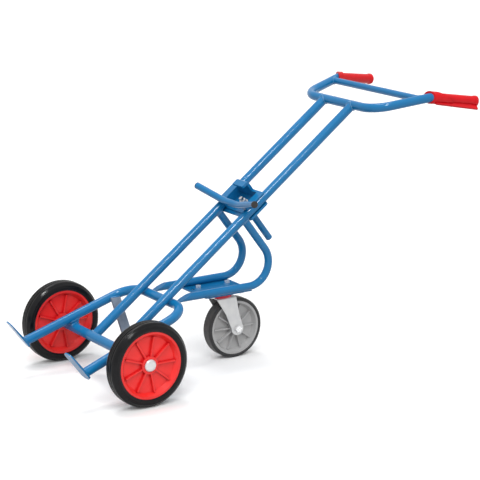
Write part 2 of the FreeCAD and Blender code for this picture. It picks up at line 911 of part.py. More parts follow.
WHEEL = {
    "bush": "bush_radius",
    "hub": "hub_radius",
    "hub_half": "hub_half",
    "web_half": "web_half",
    "dish": "(wheel_radius - tyre_height - rim_lip - dish_slope)",
    "dish_lip": "(wheel_radius - tyre_height - rim_lip)",
    "rim_half": "rim_half",
    "lip": "(wheel_radius - tyre_height)",
    "seat_half": "seat_half",
    "seat": "(wheel_radius - tyre_height - seat_depth)",
    "rib_at_hub": "rib_half_at_hub",
    "rib_at_rim": "rib_half_at_rim",
    "rib_thickness": "rib_thickness",
    "bead_half": "tyre_bead_half",
    "tyre_side": "(wheel_radius - tyre_side_height)",
    "tyre_half": "tyre_half",
    "tyre": "wheel_radius",
    "shoulder": "tyre_shoulder",
}
CASTER_WHEEL = {
    "bush": "caster_bush_radius",
    "hub": "caster_hub_radius",
    "hub_half": "fork_half_gap - slide_gap",
    "web_half": "caster_web_half",
    "dish": "(caster_wheel_radius - caster_tyre_height - caster_rim_lip - caster_dish_slope)",
    "dish_lip": "(caster_wheel_radius - caster_tyre_height - caster_rim_lip)",
    "rim_half": "caster_rim_half",
    "lip": "(caster_wheel_radius - caster_tyre_height)",
    "seat_half": "caster_seat_half",
    "seat": "(caster_wheel_radius - caster_tyre_height - caster_seat_depth)",
    "rib_at_hub": "caster_rib_half_at_hub",
    "rib_at_rim": "caster_rib_half_at_rim",
    "rib_thickness": "caster_rib_thickness",
    "bead_half": "caster_rim_half",
    "tyre_side": "(caster_wheel_radius - caster_tyre_side_height)",
    "tyre_half": "caster_tyre_half",
    "tyre": "caster_wheel_radius",
    "shoulder": "caster_tyre_shoulder",
}


def bush(label, base, inner, outer, half):
    body = new_body(label, base)
    turn(body, both_ways([(inner, half), (outer, half)]))


def make_wheels():
    for name, side in SIDES:
        base = at_rest(0, side * size("wheel_track / 2"), size("wheel_radius"))
        ribbed_rim(new_body(f"wheel_{name}_rim", base), WHEEL, RIB_COUNT)
        rubber = new_body(f"wheel_{name}_tyre", base)
        tyre(rubber, WHEEL)
        for step in (-1, 0, 1):
            near = f"{step} * tread_groove_pitch - tread_groove_width / 2"
            far = f"{step} * tread_groove_pitch + tread_groove_width / 2"
            turn(rubber, [
                ("wheel_radius - tread_groove_depth", near),
                ("wheel_radius + cut_overrun", near),
                ("wheel_radius + cut_overrun", far),
                ("wheel_radius - tread_groove_depth", far),
            ], "Groove")
        bush(f"wheel_{name}_bush", base, "axle_radius + running_gap", "bush_radius", "hub_half")


# Caster


def swivel_point(z):
    return at_rest(size("caster_axis"), 0, z)


def make_caster_top():
    base = swivel_point(size(CASTER_UNDER))
    corners = both_ways([
        ("-caster_plate_length / 2", "caster_plate_half_width"),
        ("caster_plate_length / 2", "caster_plate_half_width"),
    ])
    thick, corner = "caster_plate_thickness", "caster_plate_corner"
    body = plate("caster_top_plate", base, UNTURNED, corners, thick, corner)
    holes = [(("0", "0"), "kingpin_radius")]
    for i, j in bolt_places():
        x = bolt_formula(i, "caster_bolt_length_spacing")
        holes.append(((x, bolt_formula(j, "caster_bolt_width_spacing")), "caster_bolt_radius"))
    through_holes(body, holes)
    upright = FreeCAD.Rotation(X_AXIS, 90)
    race = new_body("caster_race", base - Z_AXIS * size("race_height"), upright)
    turn(race, [
        ("kingpin_radius", "0"),
        ("race_radius", "0"),
        ("race_radius", "race_height"),
        ("kingpin_radius", "race_height"),
    ])
    pin = new_body("caster_kingpin", swivel_point(size(KINGPIN_FOOT)), upright)
    turn(pin, [
        ("0", "0"),
        ("kingpin_head_radius", "0"),
        ("kingpin_head_radius", "kingpin_head_height"),
        ("kingpin_radius", "kingpin_head_height"),
        ("kingpin_radius", f"{CASTER_TOP} - {KINGPIN_FOOT}"),
        ("0", f"{CASTER_TOP} - {KINGPIN_FOOT}"),
    ])


def make_caster_fasteners():
    bolts = []
    nuts = []
    for i, j in bolt_places():
        x = size(f"caster_axis + {bolt_formula(i, 'caster_bolt_length_spacing')}")
        y = size(bolt_formula(j, "caster_bolt_width_spacing"))
        top = at_rest(x, y, size(CARRIER_TOP))
        under = at_rest(x, y, size(CASTER_UNDER))
        end = under - Z_AXIS * size("caster_bolt_head_height")
        head = prism(size("caster_bolt_head"), size("caster_bolt_head_height"), top, Z_AXIS)
        shank = straight(end, top, size("caster_bolt_radius"))
        bolts.append(head.fuse(shank).removeSplitter())
        nut = prism(size("caster_bolt_head"), size("caster_bolt_head_height"), end, Z_AXIS)
        nuts.append(without(nut, shank))
    shape_node("caster_bolts", Part.makeCompound(bolts))
    shape_node("caster_nuts", Part.makeCompound(nuts))


def make_fork():
    """Make the pressed fork: crown and two tapering legs with round axle lugs."""
    base = swivel_point(size("caster_wheel_radius"))
    body = new_body("caster_fork", base)
    top = f"{CROWN_TOP} - caster_wheel_radius"
    side = new_sketch(body, "XZ_Plane")
    outline(side, [
        ("-fork_crown_front", top),
        ("fork_waist_front", "fork_waist_rise"),
        ("caster_trail - fork_lug_radius", "0"),
        ("caster_trail + fork_lug_radius", "0"),
        ("fork_waist_back", "fork_waist_rise"),
        ("fork_crown_back", top),
    ])
    width = "2 * fork_half_gap + 2 * fork_gauge"
    blank = pad(body, side, width)

    def crown_side(edge):
        at_top = edge.BoundBox.ZMin > size(f"{top} - slide_gap")
        return at_top and edge.BoundBox.YLength < size("slide_gap")

    round_edges(body, blank, "fork_edge_round", crown_side)
    lugs = new_sketch(body, "XZ_Plane")
    circle(lugs, ("caster_trail", "0"), "fork_lug_radius")
    pad(body, lugs, width)
    gap = new_sketch(body, "YZ_Plane")
    outline(gap, both_ways_across([
        ("fork_half_gap", "-cut_overrun"),
        ("fork_half_gap", f"{top} - fork_gauge"),
    ]))
    pocket(body, gap)
    axle_hole = new_sketch(body, "XZ_Plane")
    circle(axle_hole, ("caster_trail", "0"), "caster_axle_radius")
    pocket(body, axle_hole)
    through_holes(body, [(("0", "0"), "kingpin_radius + running_gap")])


def make_dust_ring():
    upright = FreeCAD.Rotation(X_AXIS, 90)
    ring = new_body("caster_dust_ring", swivel_point(size(CROWN_TOP)), upright)
    turn(ring, [
        ("kingpin_radius + slide_gap", "0"),
        ("dust_ring_radius", "0"),
        ("dust_ring_radius", "dust_ring_height - dust_ring_edge"),
        ("dust_ring_radius - dust_ring_edge", "dust_ring_height"),
        ("kingpin_radius + slide_gap", "dust_ring_height"),
    ])


def caster_axle_point(y):
    return at_rest(size("caster_axis + caster_trail"), y, size("caster_wheel_radius"))


def make_caster_axle():
    """Make the axle bolt, its nut and the sleeve the wheel turns on."""
    half = size("fork_half_gap + fork_gauge")
    grip = size("caster_nut_height")
    start, end = caster_axle_point(half), caster_axle_point(-half - grip)
    shank = straight(start, end, size("caster_axle_radius"))
    head = prism(size("caster_nut_radius"), grip, start, Y_AXIS)
    shape_node("caster_axle_bolt", head.fuse(shank).removeSplitter())
    nut = prism(size("caster_nut_radius"), grip, end, Y_AXIS)
    shape_node("caster_axle_nut", without(nut, shank))
    bush("caster_sleeve", caster_axle_point(0), "caster_axle_radius", "sleeve_radius", "fork_half_gap")


def make_caster_wheel():
    base = caster_axle_point(0)
    ribbed_rim(new_body("caster_wheel_rim", base), CASTER_WHEEL, CASTER_RIB_COUNT)
    tyre(new_body("caster_wheel_tyre", base), CASTER_WHEEL)
    half = CASTER_WHEEL["hub_half"]
    bush("caster_wheel_bush", base, "sleeve_radius + running_gap", "caster_bush_radius", half)


# Hook carriage


def make_channel():
    """Make the channel that straddles the rails' front and dips between them to the back plate."""
    half = [
        (f"{RAIL_BACK} - channel_gauge", f"{RAIL_INSIDE} - channel_gauge"),
        (f"{RAIL_FRONT} - channel_gauge", f"{RAIL_INSIDE} - channel_gauge"),
        (f"{RAIL_FRONT} - channel_gauge", "channel_half_width"),
        (RAIL_FRONT, "channel_half_width"),
        (RAIL_FRONT, RAIL_INSIDE),
        (RAIL_BACK, RAIL_INSIDE),
    ]
    body = doc.addObject("PartDesign::Body", "channel_blank")
    sketch = new_sketch(body, "XY_Plane")
    outline(sketch, both_ways(half))
    pad(body, sketch, "hook_rise - cradle_rise", symmetric=False)
    doc.recompute()
    shape = body.Shape.copy()
    shape.Placement = FreeCAD.Placement(leaned(size(CRADLE_REACH), 0, 0), LEAN)
    shape_node("carriage_channel", without(shape, cradle_bar(size("cradle_radius")), stud_shank()))


def cradle_arm(side):
    """Return a cradle arm's line, from its free end to its corner at the flat middle."""
    reach = size(CRADLE_REACH)
    end = leaned(reach, side * size("cradle_half_width"), -size("cradle_end_front"))
    return end, leaned(reach, side * size("cradle_half_flat"), size(f"{RAIL_FRONT} - cradle_radius"))


def cradle_bar(radius):
    """Return the cradle as a solid bar: a flat middle and two arms that come forward."""
    points = cradle_arm(1) + cradle_arm(-1)[::-1]
    return bar(list(points), [size("cradle_bend")] * 2, radius)


def stud_shank():
    reach = size(ROD_REACH)
    front = leaned(reach, 0, size(f"{RAIL_BACK} - channel_gauge - nut_height - stud_front"))
    back = leaned(reach, 0, size(f"{RAIL_BACK} + back_plate_thickness + stud_depth"))
    return straight(front, back, size("stud_radius"))


def make_back_plate():
    corners = both_ways([
        ("0", "back_plate_half_width"),
        ("hook_rise - plate_below_hook", "back_plate_half_width"),
    ])
    rotation = LEAN.multiply(FreeCAD.Rotation(Z_AXIS, Y_AXIS, FreeCAD.Vector(), "XYZ"))
    base = leaned(size(PLATE_FOOT), 0, size(f"{RAIL_BACK} + back_plate_thickness"))
    thick, corner = "back_plate_thickness", "back_plate_corner"
    body = plate("carriage_back_plate", base, rotation, corners, thick, corner)
    through_holes(body, [(("rod_rise", "0"), "stud_radius")])


def make_hook():
    """Make the rim hook: a plate across the channel's top whose tongue ends in a turned-down lip."""
    body = new_body("carriage_hook", leaned(size(HOOK_UNDER), 0, 0), LEAN)
    sketch = new_sketch(body, "XY_Plane")
    inside = f"{RAIL_INSIDE} - channel_gauge"
    outline(sketch, both_ways([
        (f"{RAIL_BACK} - channel_gauge", inside),
        (f"{RAIL_FRONT} - channel_gauge", inside),
        (f"{RAIL_FRONT} - channel_gauge", "hook_half_width"),
        ("-hook_front", "hook_half_width"),
    ]))
    pad(body, sketch, "hook_thickness", symmetric=False)
    lip = new_sketch(body, "XY_Plane")
    outline(lip, both_ways([
        ("-hook_front", "hook_half_width"),
        ("hook_thickness - hook_front", "hook_half_width"),
    ]))
    turned_down = pad(body, lip, "hook_lip", symmetric=False)
    turned_down.Reversed = True

    def front_top(edge):
        middle = edge.BoundBox.Center
        on_front = abs(middle.x + size("hook_front")) < size("slide_gap")
        on_top = abs(middle.z - size("hook_thickness")) < size("slide_gap")
        return on_front and on_top and edge.BoundBox.YLength > size("hook_half_width")

    round_edges(body, turned_down, "hook_round", front_top)


def make_rod():
    """Make the lifting rod behind the back plate."""
    base = leaned(size(ROD_REACH), 0, size(f"{RAIL_BACK} + back_plate_thickness"))
    behind = LEAN.multVec(X_AXIS)
    body = new_body("carriage_rod", base, FreeCAD.Rotation(Y_AXIS, behind))
    solid = turn(body, [
        ("0", "stud_depth"),
        ("stud_radius", "stud_depth"),
        ("stud_radius", "0"),
        ("rod_radius", "0"),
        ("rod_radius", "rod_length"),
        ("0", "rod_length"),
    ])

    def far_rim(edge):
        at_end = edge.BoundBox.YMin > size("rod_length - slide_gap")
        return at_end and edge.BoundBox.XMax > size("stud_radius")

    round_edges(body, solid, "rod_end_round", far_rim)


def make_stud():
    """Make the stud that holds the carriage together, its washer and its nut."""
    shape_node("carriage_stud", stud_shank())
    behind = LEAN.multVec(X_AXIS)
    reach = size(ROD_REACH)
    web = size(f"{RAIL_BACK} - channel_gauge")
    face = leaned(reach, 0, web - size("washer_thickness"))
    washer = straight(face, leaned(reach, 0, web), size("washer_radius"))
    shape_node("carriage_washer", without(washer, stud_shank()))
    nut = prism(size("nut_radius"), size("nut_height"), face - behind * size("nut_height"), behind)
    shape_node("carriage_nut", without(nut, stud_shank()))


def make_cradle():
    """Make the cradle tube and the plugs pushed into its open ends."""
    hollow = cradle_bar(size("cradle_radius - cradle_wall"))
    tube_node("carriage_cradle", cradle_bar(size("cradle_radius")), hollow)
    for name, side in SIDES:
        end, corner = cradle_arm(side)
        plug = new_body(f"carriage_plug_{name}", end, FreeCAD.Rotation(Y_AXIS, end - corner))
        turn(plug, [
            ("0", "-plug_depth"),
            ("cradle_radius - cradle_wall", "-plug_depth"),
            ("cradle_radius - cradle_wall", "0"),
            ("cradle_radius", "0"),
            ("cradle_radius", "plug_head - plug_edge"),
            ("cradle_radius - plug_edge", "plug_head"),
            ("0", "plug_head"),
        ])


def write_nodes():
    """Check every object, then write one STEP file for each node."""
    doc.recompute()
    for item in doc.Objects:
        if {"Invalid", "Error"} & set(item.State):
            raise RuntimeError(f"{item.Label} did not build")
    os.makedirs("parts", exist_ok=True)
    for item in nodes:
        if item.Shape.isNull() or not item.Shape.isValid():
            raise RuntimeError(f"{item.Label} has no valid shape")
        item.Shape.exportStep(f"parts/{item.Label}.step")


make_rails()
make_axle()
make_toe_bow()
make_saddles()
make_toe_plates()
make_foot_step()
make_stays()
make_carrier()
make_handle()
for side_name, side_sign in SIDES:
    make_grip(side_name, side_sign)
make_wheels()
make_caster_top()
make_caster_fasteners()
make_fork()
make_dust_ring()
make_caster_axle()
make_caster_wheel()
make_channel()
make_back_plate()
make_hook()
make_cradle()
make_rod()
make_stud()
write_nodes()
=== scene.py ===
import json
import math

import bmesh
import bpy
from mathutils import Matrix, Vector


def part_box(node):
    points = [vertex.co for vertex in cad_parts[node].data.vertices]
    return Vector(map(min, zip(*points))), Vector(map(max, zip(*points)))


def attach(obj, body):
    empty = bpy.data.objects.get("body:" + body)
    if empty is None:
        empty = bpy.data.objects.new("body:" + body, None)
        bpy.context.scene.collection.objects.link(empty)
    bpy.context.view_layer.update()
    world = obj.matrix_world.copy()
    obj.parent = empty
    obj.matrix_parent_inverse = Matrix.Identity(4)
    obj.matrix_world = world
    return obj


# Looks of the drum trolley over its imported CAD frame.
# Metres, in the CAD frame: +X back to the handles, +Y left, +Z up from the floor.
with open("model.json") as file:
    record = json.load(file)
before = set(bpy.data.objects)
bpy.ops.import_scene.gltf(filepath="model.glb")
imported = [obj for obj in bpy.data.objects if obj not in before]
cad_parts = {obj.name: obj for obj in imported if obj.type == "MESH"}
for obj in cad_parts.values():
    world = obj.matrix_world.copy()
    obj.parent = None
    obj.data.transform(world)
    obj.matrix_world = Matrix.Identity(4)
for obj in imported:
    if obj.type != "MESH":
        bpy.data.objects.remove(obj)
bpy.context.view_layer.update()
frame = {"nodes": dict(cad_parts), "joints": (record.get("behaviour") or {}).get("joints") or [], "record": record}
nodes = frame["nodes"]
joints = {joint["name"]: joint for joint in frame["joints"]}

HUNDREDTHS = 5  # decimals of a metre that give hundredths of a millimetre


def in_middle(place):
    """Return a place moved across into the trolley's middle plane."""
    return Vector((place[0], 0.0, place[2]))


def to_hundredths(vector):
    """Round metres to hundredths of a millimetre, as facets leave a hair off a round piece's box."""
    return Vector([round(value, HUNDREDTHS) for value in vector])


def box_middle(node):
    low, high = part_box(node)
    return to_hundredths((low + high) / 2)


def box_size(node):
    low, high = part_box(node)
    return to_hundredths(high - low)


# Directions, places and sizes that the frame gives
ACROSS = Vector((0.0, 1.0, 0.0))
UP = Vector((0.0, 0.0, 1.0))
UP_RAIL = Vector(joints["carriage_slide"]["axis"]).normalized()
BEHIND_RAIL = ACROSS.cross(UP_RAIL)
AXLE = in_middle(joints["left_wheel_spin"]["pos_m"])
CASTER_AXLE = in_middle(joints["caster_spin"]["pos_m"])
WHEEL_RADIUS = box_size("wheel_left_tyre").z / 2
CASTER_WHEEL_RADIUS = box_size("caster_wheel_tyre").z / 2
TUBE_RADIUS = box_size("rail_left").y / 2
AXLE_TUBE_RADIUS = box_size("axle_tube").z / 2
STAY_RADIUS = box_size("caster_stay_left").y / 2
CROSS_TUBE_RADIUS = box_size("handle_cross_tube").z / 2
CROSS_TUBE_MIDDLE = box_middle("handle_cross_tube")
RAIL_SIDE = box_middle("rail_left").y
SADDLE_MIDDLE = box_middle("bow_saddle_left")
SADDLE_SIZE = box_size("bow_saddle_left")
STEP_MIDDLE = box_middle("foot_step")
STEP_WIDTH = box_size("foot_step").x

# Places taken over from the CAD source, from the axle up the rails, across and behind them
RAIL_BEHIND = 0.0115
STAY_REACH = 0.556
HANDLE_REACH = 1.063
HANDLE_SIDE = 0.1757
ELBOW_REACH = 1.220
ELBOW_SIDE = 0.2373
ELBOW_BEHIND = 0.0924
TOE_REACH = -0.138

# The middle line of the bow's left side, from the axle
BOW_FRONT = Vector((-0.190, 0.1846, -0.0299))
BOW_BACK = Vector((0.197, 0.1571, 0.1028))

# Looks that the materials share
COAT_ROUGHNESS = 0.06
GRAIN_STRENGTH = 0.6
WAVE_STRENGTH = 0.5
EVEN = (1.0, 1.0, 1.0)
SIDE_VIEW = (1.0, 0.0, 1.0)
PATCH_RANGE = (0.3, 0.7)  # of the noise, between the two tones
DUST_CELLS = 60
DUST_DETAIL = 5.0
DUST_RANGE = (0.35, 0.65)  # of the noise, from least to most dust
LEAST_DUST = 0.25
PRESSED_ZINC = ("caster_fork", "caster_top_plate", "caster_race")

# Weld beads
BEAD_RADIUS = 0.003
CROSS_BEAD_RADIUS = 0.0025
BEAD_SPACING = 0.0009
BEAD_SIDES = 8
RIPPLE_SHARE = 0.16
RIPPLE_STEPS = 5
SEAM_STEPS = 120
CROSSING_STEPS = 360
STEP_SEAM_STEPS = 36
OPEN_GAP_SHARE = 4  # of the usual gap between points; a line with a wider one is open
STAY_BEAD_SHORT = 0.004  # below the carriage at its lowest
STAY_BEAD_END = STAY_REACH + STAY_RADIUS - STAY_BEAD_SHORT

# Camera, floor and light
CAMERA_TARGET = Vector((0.0006, 0.0, 0.3644))
CAMERA_AZIMUTH = math.radians(-33.58)
CAMERA_ELEVATION = math.radians(14.06)
CAMERA_DISTANCE = 5.489
CAMERA_LENS = 134.8
CAMERA_SENSOR = 36.0
FLOOR_HALF = 40.0
FLOOR_LIT = (0.42, 0.42, 0.42, 1.0)
FLOOR_SEEN = (0.97, 0.97, 0.97, 1.0)
SKY_LIT = 0.58
SKY_SEEN = 1.0
WHITE = (1.0, 1.0, 1.0, 1.0)
KEY_LIGHT = Vector((-0.2855, -0.456, 0.843))
TOP_LIGHT = Vector((0.0, 0.25, 1.0))
FRONT_LIGHT = Vector((-0.45, -0.85, 0.65))


# Shader nodes


def add(owner, kind, inputs, **settings):
    """Add a node to a material or world; each input takes another node's output or a plain value."""
    tree = owner.node_tree
    node = tree.nodes.new(kind)
    for name, value in settings.items():
        setattr(node, name, value)
    for name, value in inputs.items():
        if isinstance(value, bpy.types.NodeSocket):
            tree.links.new(value, node.inputs[name])
        else:
            node.inputs[name].default_value = value
    return node


def coordinates(material):
    """Return the place on the trolley at rest, which a pose doesn't change."""
    return add(material, "ShaderNodeTexCoord", {}).outputs["Object"]


def calculated(owner, operation, *values):
    """Return the result of a calculation on plain or varying values."""
    node = add(owner, "ShaderNodeMath", dict(enumerate(values)), operation=operation)
    return node.outputs["Value"]


def spread_out(owner, value, old, new):
    """Map one range of a value onto another."""
    low, high = old
    to_low, to_high = new
    node = add(owner, "ShaderNodeMapRange", {
        "Value": value, "From Min": low, "From Max": high, "To Min": to_low, "To Max": to_high,
    })
    return node.outputs["Result"]


def blended(owner, share, first, second):
    """Return a colour that goes from the first to the second with a share from 0 to 1."""
    node = add(owner, "ShaderNodeMix", {"Factor": share, "A": first, "B": second}, data_type="RGBA")
    return node.outputs["Result"]


def noise(material, cells, detail=3.0, stretch=EVEN):
    """Return noise by place, of so many cells to the metre, stretched along an axis if asked."""
    spread = add(material, "ShaderNodeMapping", {"Vector": coordinates(material), "Scale": stretch})
    node = add(material, "ShaderNodeTexNoise", {
        "Vector": spread.outputs["Vector"], "Scale": cells, "Detail": detail,
    })
    return node.outputs["Fac"]


def radius_from(material, centre):
    """Return the distance from a wheel's axis, in metres."""
    kind = "ShaderNodeVectorMath"
    off = add(material, kind, {0: coordinates(material), 1: centre}, operation="SUBTRACT")
    flat = add(material, kind, {0: off.outputs["Vector"], 1: SIDE_VIEW}, operation="MULTIPLY")
    length = add(material, kind, {0: flat.outputs["Vector"]}, operation="LENGTH")
    return length.outputs["Value"]


def seen_directly(owner):
    """Return 1 for what the camera sees, also in gloss or through glass, else 0."""
    path = add(owner, "ShaderNodeLightPath", {}).outputs
    either = calculated(owner, "MAXIMUM", path["Is Camera Ray"], path["Is Glossy Ray"])
    return calculated(owner, "MAXIMUM", either, path["Is Transmission Ray"])


# What materials are made of


def new_material(name, roughness=0.5, metallic=0.0, coat=0.0, gloss=0.5):
    """Return a material with the numbers that are the same all over."""
    material = bpy.data.materials.new(name)
    material.use_nodes = True
    inputs = shader_inputs(material)
    inputs["Roughness"].default_value = roughness
    inputs["Metallic"].default_value = metallic
    inputs["Specular IOR Level"].default_value = gloss
    inputs["Coat Weight"].default_value = coat
    inputs["Coat Roughness"].default_value = COAT_ROUGHNESS
    return material


def shader_inputs(material):
    return material.node_tree.nodes["Principled BSDF"].inputs


def to_shader(material, name, value):
    material.node_tree.links.new(value, shader_inputs(material)[name])


def so_far(material, name):
    """Return what an input of the shader has been given so far."""
    return shader_inputs(material)[name].links[0].from_socket


def mottled(material, dark, light, cells, stretch=EVEN):
    """Vary the colour between two tones in soft patches."""
    tones = add(material, "ShaderNodeValToRGB", {"Fac": noise(material, cells, stretch=stretch)})
    for element, place, tone in zip(tones.color_ramp.elements, PATCH_RANGE, (dark, light)):
        element.position = place
        element.color = (*tone, 1.0)
    to_shader(material, "Base Color", tones.outputs["Color"])


def dusty_tread(material, centre, radius, depth, dust):
    """Turn the colour towards dust in patches, in the outermost depth of a tyre."""
    share = spread_out(material, radius_from(material, centre), (radius - depth, radius), (0.0, 1.0))
    grain = noise(material, DUST_CELLS, DUST_DETAIL)
    patches = spread_out(material, grain, DUST_RANGE, (LEAST_DUST, 1.0))
    both = calculated(material, "MULTIPLY", share, patches)
    colour = blended(material, both, so_far(material, "Base Color"), (*dust, 1.0))
    to_shader(material, "Base Color", colour)


def painted_shade_in_hollows(material, reach, openness, shade_colour):
    """Paint shade into the colour: turn it towards a darker shade colour in hollows of a reach in metres, the less
    the more open.
    """
    occlusion = add(material, "ShaderNodeAmbientOcclusion", {"Distance": reach})
    share = spread_out(material, occlusion.outputs["AO"], openness, (1.0, 0.0))
    colour = blended(material, share, so_far(material, "Base Color"), (*shade_colour, 1.0))
    to_shader(material, "Base Color", colour)


def uneven_gloss(material, low, high, cells):
    """Vary the roughness between two values in soft patches."""
    to_shader(material, "Roughness", spread_out(material, noise(material, cells), PATCH_RANGE, (low, high)))


def bumpy(material, height, cells, detail=3.0, stretch=EVEN):
    """Add fine relief of the given height in metres and so many cells to the metre."""
    bump = add(material, "ShaderNodeBump", {
        "Height": noise(material, cells, detail, stretch), "Strength": GRAIN_STRENGTH, "Distance": height,
    })
    to_shader(material, "Normal", bump.outputs["Normal"])


def ringed(material, centre, pitch, height):
    """Add fine rings about a wheel's axis, as turned or moulded, over the relief so far."""
    waved(material, radius_from(material, centre), pitch, height)


def ribbed_across(material, pitch, height):
    """Add ribs side by side across a tread, over the relief so far."""
    parts = add(material, "ShaderNodeSeparateXYZ", {"Vector": coordinates(material)})
    waved(material, parts.outputs["Y"], pitch, height)


def waved(material, value, pitch, height):
    """Add a wave of the given pitch and height in metres along a value, over the relief so far."""
    turns = calculated(material, "MULTIPLY", value, 2 * math.pi / pitch)
    bump = add(material, "ShaderNodeBump", {
        "Height": calculated(material, "SINE", turns), "Normal": so_far(material, "Normal"),
        "Strength": WAVE_STRENGTH, "Distance": height,
    })
    to_shader(material, "Normal", bump.outputs["Normal"])
    to_shader(material, "Coat Normal", bump.outputs["Normal"])


# Metals


def blue_paint():
    """Return the frame's smooth paint."""
    paint = new_material("blue_paint", coat=0.5, gloss=0.05)
    mottled(paint, dark=(0.006, 0.148, 0.352), light=(0.008, 0.168, 0.398), cells=14)
    uneven_gloss(paint, low=0.28, high=0.40, cells=40)
    bumpy(paint, height=0.000014, cells=420)
    return paint


def painted_weld():
    """Return the same paint, lumpy and glossy over the welds."""
    paint = new_material("painted_weld", roughness=0.24, coat=1.0, gloss=0.3)
    mottled(paint, dark=(0.008, 0.160, 0.365), light=(0.012, 0.182, 0.415), cells=120)
    bumpy(paint, height=0.0008, cells=260, detail=4.0)
    to_shader(paint, "Coat Normal", so_far(paint, "Normal"))
    return paint


def step_steel():
    """Return the foot step's bare grey steel."""
    steel = new_material("step_steel", metallic=0.4)
    mottled(steel, dark=(0.17, 0.21, 0.27), light=(0.23, 0.27, 0.33), cells=60)
    uneven_gloss(steel, low=0.34, high=0.50, cells=80)
    bumpy(steel, height=0.00012, cells=700)
    return steel


def axle_steel():
    """Return bright steel, drawn along the axle."""
    steel = new_material("axle_steel", roughness=0.3, metallic=1.0)
    mottled(steel, dark=(0.48, 0.48, 0.49), light=(0.60, 0.60, 0.61), cells=220, stretch=(1.0, 0.1, 1.0))
    bumpy(steel, height=0.00005, cells=1500, stretch=(1.0, 0.05, 1.0))
    return steel


def zinc():
    """Return the bright plating of bolts and nuts."""
    plating = new_material("zinc", metallic=0.6)
    mottled(plating, dark=(0.76, 0.77, 0.79), light=(0.85, 0.85, 0.84), cells=55)
    uneven_gloss(plating, low=0.22, high=0.34, cells=110)
    bumpy(plating, height=0.00003, cells=900)
    return plating


def zinc_sheet():
    """Return the duller plating of pressed pieces."""
    plating = new_material("zinc_sheet", metallic=0.7)
    mottled(plating, dark=(0.53, 0.535, 0.545), light=(0.59, 0.59, 0.585), cells=35)
    uneven_gloss(plating, low=0.36, high=0.50, cells=90)
    bumpy(plating, height=0.00002, cells=700)
    return plating


def cap_metal():
    """Return the axle caps' metal with turned rings."""
    metal = new_material("cap_metal", roughness=0.34, metallic=0.6)
    mottled(metal, dark=(0.62, 0.62, 0.63), light=(0.70, 0.70, 0.71), cells=120)
    bumpy(metal, height=0.00003, cells=1200)
    ringed(metal, AXLE, pitch=0.0011, height=0.00003)
    return metal


# Plastics


def grip_red():
    """Return the grips' grained plastic."""
    plastic = new_material("grip_red", coat=0.3, gloss=0.05)
    mottled(plastic, dark=(0.56, 0.003, 0.008), light=(0.64, 0.005, 0.010), cells=30)
    # Painted shade: darker red in the grip's hollows, between the guard and the body
    painted_shade_in_hollows(plastic, reach=0.016, openness=(0.45, 0.97), shade_colour=(0.38, 0.0, 0.004))
    uneven_gloss(plastic, low=0.32, high=0.46, cells=70)
    bumpy(plastic, height=0.00016, cells=1400)
    return plastic


def rim_red():
    """Return the main wheels' plastic."""
    plastic = new_material("rim_red", coat=0.35, gloss=0.2)
    mottled(plastic, dark=(0.83, 0.026, 0.023), light=(0.91, 0.032, 0.029), cells=18)
    # Painted shade: darker red in the rim's hollows, at the ribs' bases and under the lip
    painted_shade_in_hollows(plastic, reach=0.016, openness=(0.35, 0.85), shade_colour=(0.56, 0.004, 0.010))
    uneven_gloss(plastic, low=0.28, high=0.42, cells=60)
    bumpy(plastic, height=0.00010, cells=1000)
    ringed(plastic, AXLE, pitch=0.0014, height=0.00002)
    return plastic


def ring_red():
    """Return the plastic of the caster's dust ring."""
    plastic = new_material("ring_red", roughness=0.38)
    mottled(plastic, dark=(0.62, 0.018, 0.045), light=(0.70, 0.026, 0.06), cells=40)
    bumpy(plastic, height=0.00008, cells=1000)
    return plastic


def bush_plastic():
    """Return the wheel bushes' pale plastic."""
    plastic = new_material("bush_plastic", roughness=0.5)
    mottled(plastic, dark=(0.50, 0.48, 0.43), light=(0.60, 0.58, 0.52), cells=60)
    bumpy(plastic, height=0.00008, cells=900)
    return plastic


def plug_black():
    """Return the cradle plugs' black plastic."""
    plastic = new_material("plug_black", roughness=0.45)
    mottled(plastic, dark=(0.010, 0.009, 0.009), light=(0.016, 0.014, 0.013), cells=90)
    bumpy(plastic, height=0.00012, cells=1300)
    return plastic


def rim_grey():
    """Return the caster wheel's plastic."""
    plastic = new_material("rim_grey", roughness=0.42)
    mottled(plastic, dark=(0.40, 0.40, 0.40), light=(0.46, 0.46, 0.46), cells=30)
    bumpy(plastic, height=0.00010, cells=1000)
    ringed(plastic, CASTER_AXLE, pitch=0.0014, height=0.00002)
    return plastic


# Rubbers


def tyre_black():
    """Return the main tyres' rubber, ribbed, and dusty where it meets the floor."""
    rubber = new_material("tyre_black", coat=0.3, gloss=0.05)
    mottled(rubber, dark=(0.003, 0.003, 0.004), light=(0.006, 0.006, 0.007), cells=45)
    dusty_tread(rubber, AXLE, WHEEL_RADIUS, depth=0.004, dust=(0.012, 0.0115, 0.011))
    uneven_gloss(rubber, low=0.28, high=0.42, cells=90)
    bumpy(rubber, height=0.00016, cells=1300, detail=5.0)
    ribbed_across(rubber, pitch=0.0115, height=0.0009)
    ringed(rubber, AXLE, pitch=0.0075, height=0.0005)
    return rubber


def tyre_grey():
    """Return the caster tyre's rubber with fine moulding rings, dusty where it meets the floor."""
    rubber = new_material("tyre_grey", roughness=0.5, gloss=0.3)
    mottled(rubber, dark=(0.031, 0.031, 0.032), light=(0.040, 0.040, 0.041), cells=45)
    dusty_tread(rubber, CASTER_AXLE, CASTER_WHEEL_RADIUS, depth=0.0025, dust=(0.075, 0.073, 0.070))
    bumpy(rubber, height=0.00016, cells=1300, detail=5.0)
    ringed(rubber, CASTER_AXLE, pitch=0.0016, height=0.00005)
    return rubber


MATERIALS = (
    blue_paint, painted_weld, step_steel, axle_steel, zinc, zinc_sheet, cap_metal, grip_red, rim_red,
    ring_red, bush_plastic, plug_black, rim_grey, tyre_black, tyre_grey,
)


